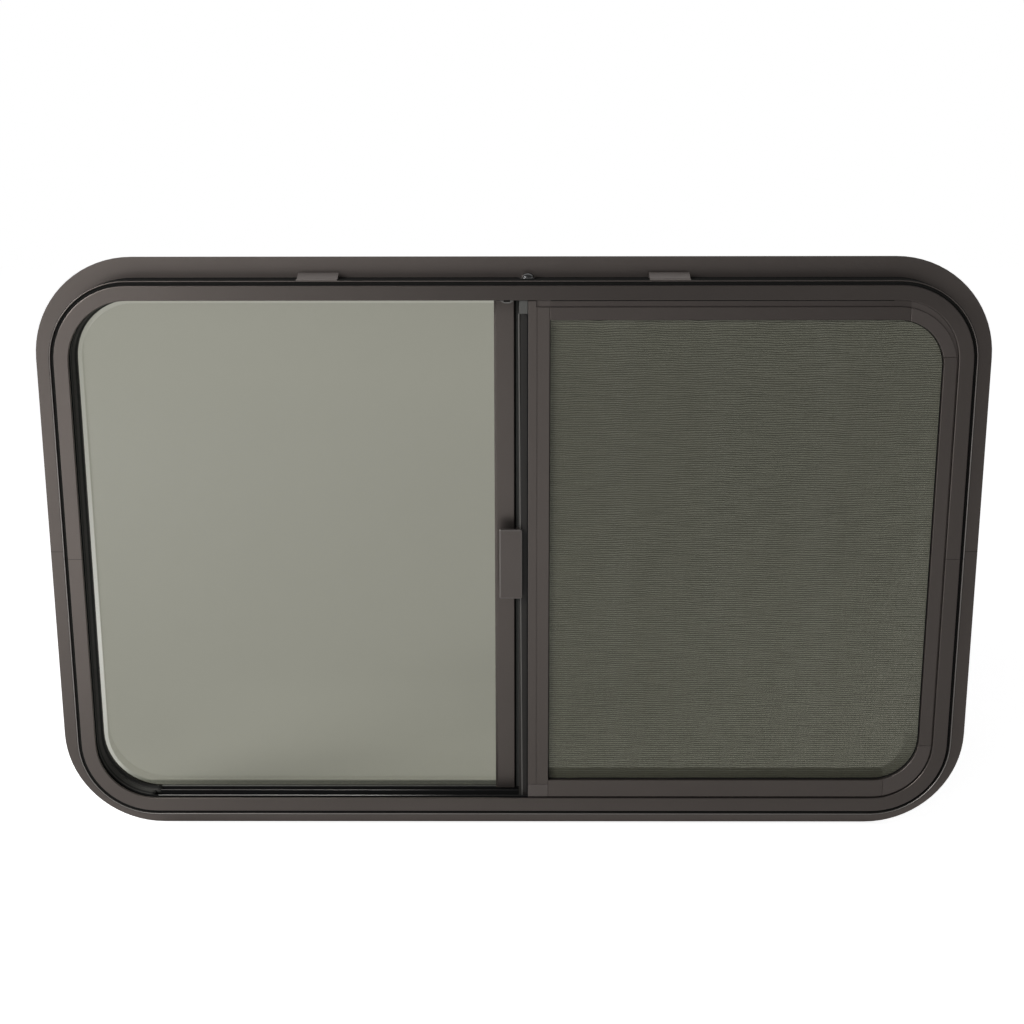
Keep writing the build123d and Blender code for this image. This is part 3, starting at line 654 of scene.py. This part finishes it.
def makeCloth():
    low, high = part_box("insect_mesh")
    r = cloth["cornerRadius"]
    rows = np.arange(low.z + cloth["acrossPitch"] / 2, high.z, cloth["acrossPitch"])
    over = np.clip(np.maximum(rows - (high.z - r), (low.z + r) - rows), 0, r)
    rowEnds = high.x - r + np.sqrt(r * r - over * over)
    columns = np.arange(low.x + cloth["upPitch"] / 2, high.x - cloth["upHalf"], cloth["upPitch"])
    past = np.clip(columns - (high.x - r), 0, r)
    reach = r - np.sqrt(r * r - past * past)
    rowPoints, rowFaces = weaveThreads(
        np.full(len(rows), low.x), rowEnds, rows, cloth["acrossHalf"], cloth["strayAcross"],
        cloth["swellAcross"], low.y + cloth["frontDepth"], "x", cloth["seedAcross"])
    columnPoints, columnFaces = weaveThreads(
        low.z + reach, high.z - reach, columns, cloth["upHalf"], cloth["strayUp"], cloth["swellUp"],
        low.y + cloth["backDepth"], "z", cloth["seedUp"])
    points = np.concatenate([rowPoints, columnPoints])
    faces = np.concatenate([rowFaces, columnFaces + len(rowPoints)])
    piece = addMesh("screenCloth", points, faces)
    across = piece.data.attributes.new(threadMarks["attribute"], "FLOAT", "POINT")
    across.data.foreach_set("value", (np.arange(len(points)) < len(rowPoints)).astype(np.float32))
    finishPiece(piece, "frame", finishes["mesh"], ["insect_mesh"])
    print("screen cloth:", len(rows), "threads across,", len(columns), "up")
    return low, high


clothLow, clothHigh = makeCloth()

# rubber cord that holds the cloth in the screen members
spline = {"thin": 0.00028, "thick": 0.0006, "leftCorner": 0.001, "sides": 8, "sink": 0.4,
          "cornerSteps": 14}


# a round section carried round the opening; its radius grows from thin at the upper left to thick at the
# lower right, by how far the point lies to the right and down as shares of the opening
def makeSpline():
    radii = [spline["leftCorner"], cloth["cornerRadius"], cloth["cornerRadius"], spline["leftCorner"]]
    path, inward = roundedOutline((clothLow.x, clothLow.z), (clothHigh.x, clothHigh.z), radii,
                                  spline["cornerSteps"])
    shareX = (path[:, 0] - clothLow.x) / (clothHigh.x - clothLow.x)
    shareZ = (path[:, 1] - clothLow.z) / (clothHigh.z - clothLow.z)
    grow = np.clip(0.5 + shareX - shareZ, 0, 1)
    radius = (spline["thin"] + (spline["thick"] - spline["thin"]) * grow)[:, None]
    turn = np.linspace(0, 2 * math.pi, spline["sides"], endpoint=False)[None]
    depth = clothLow.y + radius * (np.sin(turn) - spline["sink"])
    profile = np.stack([radius * (1 + np.cos(turn)), depth], axis=-1)
    points = carryProfile(path, inward, profile)
    piece = addMesh("screenSpline", points, gridFaces(len(path), spline["sides"], True, True), closed=True)
    finishPiece(piece, "frame", finishes["tape"])


makeSpline()

# black sealing tape round the outer face of the frame's wall, and a seal in the gap between wall and rim
tapes = {
    "wallTape": {"outer": 0.02065, "inner": 0.02120, "front": -0.0274, "back": -0.0003},
    "gapSeal": {"outer": 0.02262, "inner": 0.02570, "front": -0.0262, "back": -0.0250},
}


# a flat rectangle of (inset, depth) corners carried round the flange's outline
def makeTapes():
    for name, tape in tapes.items():
        profile = np.array([(tape["outer"], tape["back"]), (tape["outer"], tape["front"]),
                            (tape["inner"], tape["front"]), (tape["inner"], tape["back"])])
        points = carryProfile(outline, outlineInward, profile)
        faces = gridFaces(len(outline), len(profile), True, True)
        piece = addMesh(name, points, faces, smooth=False, closed=True)
        finishPiece(piece, "frame", finishes["tape"])


makeTapes()

# ribbed rubber that fills the sash channel round the left end
channel = {"deep": 0.0055, "clear": 0.0001, "ribs": 5, "ribDepth": 0.0008, "stepsPerRib": 6}


# across the channel, inset = filler's inner face less a cosine ripple, one wave for each rib
def makeChannelFiller():
    low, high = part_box("lower_filler")
    face = low.x + window["halfWidth"]
    t = np.linspace(0, 1, channel["ribs"] * channel["stepsPerRib"] + 1)
    ripple = 0.5 * channel["ribDepth"] * (1 + np.cos(2 * math.pi * channel["ribs"] * t))
    front = np.stack([face + channel["deep"] - ripple, low.y + (high.y - low.y) * t], axis=-1)
    root = face + channel["clear"]
    profile = np.concatenate([front, [(root, high.y), (root, low.y)]])
    path = leftEnd[:-1]    # it stops just short of the straight sill
    points = carryProfile(outline[path], outlineInward[path], profile)
    piece = addMesh("channelFiller", points, barFaces(len(path), len(profile)), closed=True)
    finishPiece(piece, "frame", finishes["filler"], ["upper_filler", "lower_filler"])


makeChannelFiller()

# rubber bead over the rear rib and the seal, against the fixed pane
bead = {
    "front": -0.0082, "back": 0.00045, "root": 0.0352, "inset": 0.0407,
    "rise": 0.0014, "riseSpan": (-0.0050, -0.0021), "ribs": 2, "ribDepth": 0.0006, "steps": 19,
}


# its face steps up smoothly from the filler's line to the seal's, less a cosine ripple
# that starts at nought
def makeGlazingBead():
    t = np.linspace(0, 1, bead["steps"])
    depth = bead["front"] + (bead["back"] - bead["front"]) * t
    start, end = bead["riseSpan"]
    step = np.clip((depth - start) / (end - start), 0, 1)
    ripple = 0.5 * bead["ribDepth"] * (1 - np.cos(2 * math.pi * bead["ribs"] * t)) * (1 - step)
    inset = bead["inset"] + bead["rise"] * step * step * (3 - 2 * step) - ripple
    base = [(bead["root"], bead["back"]), (bead["root"], bead["front"])]
    profile = np.concatenate([np.stack([inset, depth], axis=-1), base])
    points = carryProfile(outline[leftEnd], outlineInward[leftEnd], profile)
    piece = addMesh("glazingBead", points, barFaces(len(leftEnd), len(profile)), closed=True)
    finishPiece(piece, "frame", finishes["filler"])


makeGlazingBead()

# grey lip on the seal along the foot of the fixed pane
paneLip = {"from": -0.3805, "front": -0.0016, "back": 0.0004, "seat": 0.0316,
           "high": 0.0006, "bevel": 0.0002}


# flat bar on the seal's top, with its front upper corner cut off, carried from the left corner to the post
def makePaneLip():
    front, back, bevel = paneLip["front"], paneLip["back"], paneLip["bevel"]
    low = paneLip["seat"]
    high = low + paneLip["high"]
    section = np.array([(front, low), (front, high - bevel), (front + bevel, high),
                        (back, high), (back, low)])
    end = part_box("centre_post")[0].x
    points = layStations(section, (paneLip["from"], end), ("along", "first", "second"))
    piece = addMesh("paneLip", points, barFaces(2, len(section)), smooth=False, closed=True)
    finishPiece(piece, "frame", finishes["lip"])


makePaneLip()

# metal caps on the two ribs of the lower track
ribCap = {"from": -0.3805, "to": 0.380, "middles": (-0.0210, -0.0073), "radius": 0.0006,
          "high": 0.0297, "steps": 9}


# half-round bar: its section is a half circle over a flat base, carried straight along the sill
def makeRibCaps():
    turn = np.linspace(0, math.pi, ribCap["steps"])
    for name, middle in zip(("frontRibCap", "rearRibCap"), ribCap["middles"]):
        section = np.stack([middle + ribCap["radius"] * np.cos(turn),
                            ribCap["high"] + ribCap["radius"] * np.sin(turn)], axis=-1)
        points = layStations(section, (ribCap["from"], ribCap["to"]), ("along", "first", "second"))
        piece = addMesh(name, points, barFaces(2, len(section)), closed=True)
        finishPiece(piece, "frame", finishes["cap"])


makeRibCaps()

# edge strip on the leading stile of the sash, a little out of line with it; its pale tone is a painted
# highlight
stileEdge = {
    "topX": 0.0050, "lowX": 0.0084, "top": 0.5450, "width": 0.0015,
    "front": -0.0196, "back": -0.0189, "bevel": 0.0003,
}


# bar with bevelled front corners, whose left side leans evenly from its foot to its top
def makeStileEdge():
    low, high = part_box("sash_stile")
    b, w = stileEdge["bevel"], stileEdge["width"]
    front, back = stileEdge["front"], stileEdge["back"]
    section = np.array([(0, back), (0, front + b), (b, front), (w - b, front), (w, front + b), (w, back)])
    points = layStations(section, (low.z, stileEdge["top"]), ("first", "second", "along"))
    points[..., 0] += np.array([stileEdge["lowX"], stileEdge["topX"]])[:, None]
    piece = addMesh("stileEdge", points, barFaces(2, len(section)), smooth=False, closed=True)
    finishPiece(piece, "sash", finishes["edge"])


makeStileEdge()

# thin dark strips: painted shade in the slot on the post's leg beside the sash, felt on that leg, painted
# shade behind the slot of the rim's tab, painted shade along the leading edge of the screen, and a painted
# shadow under the rim along the screen's head
darkStrips = {
    "legShade": {"x": (0.0011, 0.0027), "y": (-0.0013, -0.0009), "z": (0.0320, 0.5572), "finish": "tape"},
    "legFelt": {"x": (0.0027, 0.0079), "y": (-0.0014, -0.0009), "z": (0.0320, 0.5572), "finish": "felt"},
    "slotShade": {"x": (-0.0096, -0.0024), "y": (-0.0266, -0.0262), "z": (0.5572, 0.5594), "finish": "tape"},
    "screenEdgeShade": {"x": (0.0138, 0.0150), "y": (-0.0270, -0.0226), "z": (0.0330, 0.5450), "finish": "liner"},
    "headShadow": {"x": (0.0375, 0.3750), "y": (-0.0259, -0.0256), "z": (0.5583, 0.5590), "finish": "tape"},
}


# flat plate: the four corners of its face, once at the front and once at the back
def makeDarkStrips():
    for name, strip in darkStrips.items():
        (x0, x1), (z0, z1) = strip["x"], strip["z"]
        face = np.array([(x0, z0), (x1, z0), (x1, z1), (x0, z1)])
        points = layStations(face, strip["y"], ("first", "along", "second"))
        piece = addMesh(name, points, barFaces(2, len(face)), smooth=False, closed=True)
        finishPiece(piece, "frame", finishes[strip["finish"]])


makeDarkStrips()

# domed screw head on a washer, with its shank in the frame
screwHead = {"shank": 0.0019, "washer": 0.0084, "washerHigh": 0.0012, "bevel": 0.0003, "dome": 0.0064,
             "domeHigh": 0.0046, "domeEnd": 84.0, "domeSteps": 10, "sides": 40}


# a profile of (radius, height) turned about an upright axis: the shank, a washer with broken edges, and a
# quarter ellipse, where radius = dome times cosine and height = dome's height times sine of an angle
def makeScrewHead():
    low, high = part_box("frame_screw")
    b, wide = screwHead["bevel"], screwHead["washer"]
    top = high.z - screwHead["domeHigh"]
    foot = top - screwHead["washerHigh"]
    turn = np.radians(np.linspace(0, screwHead["domeEnd"], screwHead["domeSteps"]))
    dome = np.stack([screwHead["dome"] * np.cos(turn), top + screwHead["domeHigh"] * np.sin(turn)], axis=-1)
    profile = np.concatenate([[(screwHead["shank"], low.z), (screwHead["shank"], foot), (wide - b, foot),
                               (wide, foot + b), (wide, top - b), (wide - b, top)], dome])
    around = np.linspace(0, 2 * math.pi, screwHead["sides"], endpoint=False)
    radius, height = profile[:, 0:1], profile[:, 1:2]
    middle = (low + high) / 2
    points = np.stack([middle.x + radius * np.cos(around), middle.y + radius * np.sin(around),
                       np.broadcast_to(height, (len(profile), len(around)))], axis=-1)
    piece = addMesh("screwHead", points, barFaces(len(profile), len(around)), closed=True)
    finishPiece(piece, "frame", finishes["screw"], ["frame_screw"])


makeScrewHead()

# pile seal on the post: a woven back with rows of leaning fibre tufts
pile = {
    "rows": 4, "pitch": 0.0016, "backThick": 0.0008, "rootHalf": 0.00045, "tipHalf": 0.00012,
    "lean": 0.0006, "sides": 5, "margin": 0.0008, "tipStray": 0.0004, "keep": 0.0002,
    "acrossShare": 0.4,    # a tuft's lean across the strip, as a share of its lean along it
    "seed": 8,
}


# each tuft is a tapered tube of two rings, from the back to a tip that leans by a random small amount
def makePile():
    low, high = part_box("post_seal")
    rng = np.random.default_rng(pile["seed"])
    keep, margin = pile["keep"], pile["margin"]
    x = np.linspace(low.x + margin, high.x - margin, pile["rows"])
    z = np.arange(low.z + margin, high.z - margin, pile["pitch"])
    x, z = (grid.ravel() for grid in np.meshgrid(x, z))
    count, sides = len(x), pile["sides"]
    root = high.y - pile["backThick"]
    tip = low.y + keep + np.abs(rng.normal(0, pile["tipStray"], count))
    leanAcross = pile["lean"] * pile["acrossShare"]
    tipX = np.clip(x + rng.normal(0, leanAcross, count), low.x + keep, high.x - keep)
    tipZ = np.clip(z + rng.normal(0, pile["lean"], count), low.z + keep, high.z - keep)
    turn = np.linspace(0, 2 * math.pi, sides, endpoint=False)
    ring = np.stack([np.cos(turn), np.zeros(sides), np.sin(turn)], axis=-1)
    roots = np.stack([x, np.full(count, root), z], axis=-1)
    tips = np.stack([tipX, tip, tipZ], axis=-1)
    tufts = np.stack([roots[:, None] + pile["rootHalf"] * ring,
                      tips[:, None] + pile["tipHalf"] * ring], axis=1)
    strip = np.array([(low.x, root), (high.x, root), (high.x, high.y), (low.x, high.y)])
    back = layStations(strip, (low.z, high.z), ("first", "second", "along"))
    points = np.concatenate([tufts.reshape(-1, 3), back.reshape(-1, 3)])
    backFaces = [[corner + count * 2 * sides for corner in face] for face in barFaces(2, len(strip))]
    piece = addMesh("postPile", points, barFaces(2, sides, count) + backFaces, closed=True)
    finishPiece(piece, "frame", finishes["pile"], ["post_seal"])


makePile()

# stage: pale floor, white surroundings and two soft lights from the left
studio = {
    "floorTone": (0.90, 0.90, 0.90),
    "floorRoughness": 0.9,
    "floorSpecular": 0.0,
    "floorGlow": 0.82,              # to the camera
    "throughGlow": (0.55, 0.78),    # through glass, from close behind the window to far behind it
    "throughSpan": (0.0, 3.0),
    "footGlow": 0.26,               # to reflections, close to the window's foot
    "footSpan": (-0.10, -0.03),
    "floorSize": 12.0,
    "roomTone": (0.198, 0.197, 0.200),
    "behindSpan": (-0.1, 0.3),      # reflections turn from the grey room to white between these directions
}
lamps = [
    {"name": "softLeft", "at": (-1.9, -1.5, 1.3), "aim": (-1.3, -1.3, 0.0),
     "size": (1.2, 1.2), "power": 58.0},
    {"name": "softFar", "at": (-1.6, -4.2, 1.8), "aim": (-1.3, -4.2, 0.0),
     "size": (1.6, 1.6), "power": 36.0},
]


# the floor glows at one strength to the camera, one through glass and one to mirrors near the window's foot
def makeFloor():
    s = studio["floorSize"] / 2
    z = cadBox[0][2]
    corners = np.array([(-s, -s, z), (s, -s, z), (s, s, z), (-s, s, z)])
    floor = addMesh("floor", corners, np.array([[0, 1, 2, 3]]), smooth=False)
    material, tree, shader = newMaterial("paleFloor")
    shader.inputs["Base Color"].default_value = (*studio["floorTone"], 1)
    shader.inputs["Roughness"].default_value = studio["floorRoughness"]
    shader.inputs["Specular IOR Level"].default_value = studio["floorSpecular"]
    rays = place(tree, "ShaderNodeLightPath").outputs
    _, y, _ = splitPosition(tree, place(tree, "ShaderNodeTexCoord").outputs["Object"])
    through = mapValue(tree, y, studio["throughSpan"], studio["throughGlow"])
    foot = mapValue(tree, y, studio["footSpan"], (0.0, studio["footGlow"]))
    mirrored = combine(tree, "SUBTRACT", rays["Is Glossy Ray"], rays["Is Transmission Ray"], clamp=True)
    sight = combine(tree, "ADD", combine(tree, "MULTIPLY", rays["Is Camera Ray"], studio["floorGlow"]),
                    combine(tree, "MULTIPLY", rays["Is Transmission Ray"], through))
    reflected = combine(tree, "MULTIPLY", mirrored, foot)
    glow = place(tree, "ShaderNodeEmission")
    wire(tree, combine(tree, "ADD", sight, reflected), glow.inputs["Strength"])
    total = place(tree, "ShaderNodeAddShader")
    wire(tree, shader.outputs["BSDF"], total.inputs[0])
    wire(tree, glow.outputs["Emission"], total.inputs[1])
    wire(tree, total.outputs["Shader"], tree.nodes["Material Output"].inputs["Surface"])
    floor.data.materials.append(material)


# white to the camera and through glass, and behind the window to reflections; a grey room elsewhere
def makeSurroundings():
    world = bpy.data.worlds.new("whiteStudio")
    scene.world = world
    world.use_nodes = True
    tree = world.node_tree
    room = tree.nodes["Background"]
    room.inputs["Color"].default_value = (*studio["roomTone"], 1)
    white = place(tree, "ShaderNodeBackground")
    white.inputs["Color"].default_value = (1, 1, 1, 1)
    rays = place(tree, "ShaderNodeLightPath").outputs
    _, y, _ = splitPosition(tree, place(tree, "ShaderNodeTexCoord").outputs["Generated"])
    mirror = combine(tree, "MULTIPLY", mapValue(tree, y, studio["behindSpan"]), rays["Is Glossy Ray"])
    direct = combine(tree, "MAXIMUM", rays["Is Camera Ray"], rays["Is Transmission Ray"])
    mix = place(tree, "ShaderNodeMixShader")
    wire(tree, combine(tree, "MAXIMUM", mirror, direct), mix.inputs["Fac"])
    wire(tree, room.outputs["Background"], mix.inputs[1])
    wire(tree, white.outputs["Background"], mix.inputs[2])
    wire(tree, mix.outputs["Shader"], tree.nodes["World Output"].inputs["Surface"])


def makeLamp(lamp):
    light = bpy.data.lights.new(lamp["name"], "AREA")
    light.shape = "RECTANGLE"
    light.size, light.size_y = lamp["size"]
    light.energy = lamp["power"]
    holder = bpy.data.objects.new(lamp["name"], light)
    holder.location = lamp["at"]
    aim = Vector(lamp["aim"]) - Vector(lamp["at"])
    holder.rotation_euler = aim.to_track_quat("-Z", "Y").to_euler()
    scene.collection.objects.link(holder)


makeFloor()
makeSurroundings()
for lamp in lamps:
    makeLamp(lamp)

# camera where the photograph was taken from
view = {"at": (0.0069, -1.5891, 0.7447), "lens": 55.74, "sensor": 36.0,
        "down": 14.377, "turn": -0.302, "roll": -0.093}


def makeCamera():
    down, turn, roll = (math.radians(view[key]) for key in ("down", "turn", "roll"))
    ahead = Vector((math.sin(turn) * math.cos(down), math.cos(turn) * math.cos(down), -math.sin(down)))
    right = Vector((math.cos(turn), -math.sin(turn), 0))
    up = right.cross(ahead)
    tiltedRight = math.cos(roll) * right + math.sin(roll) * up
    tiltedUp = math.cos(roll) * up - math.sin(roll) * right
    lens = bpy.data.cameras.new("photoCamera")
    lens.lens = view["lens"]
    lens.sensor_width = view["sensor"]
    camera = bpy.data.objects.new("photoCamera", lens)
    turned = Matrix((tiltedRight, tiltedUp, -ahead)).transposed().to_4x4()
    camera.matrix_world = Matrix.Translation(view["at"]) @ turned
    scene.collection.objects.link(camera)
    scene.camera = camera


makeCamera()
scene.view_settings.view_transform = "Standard"
print("stage, lights and camera set")
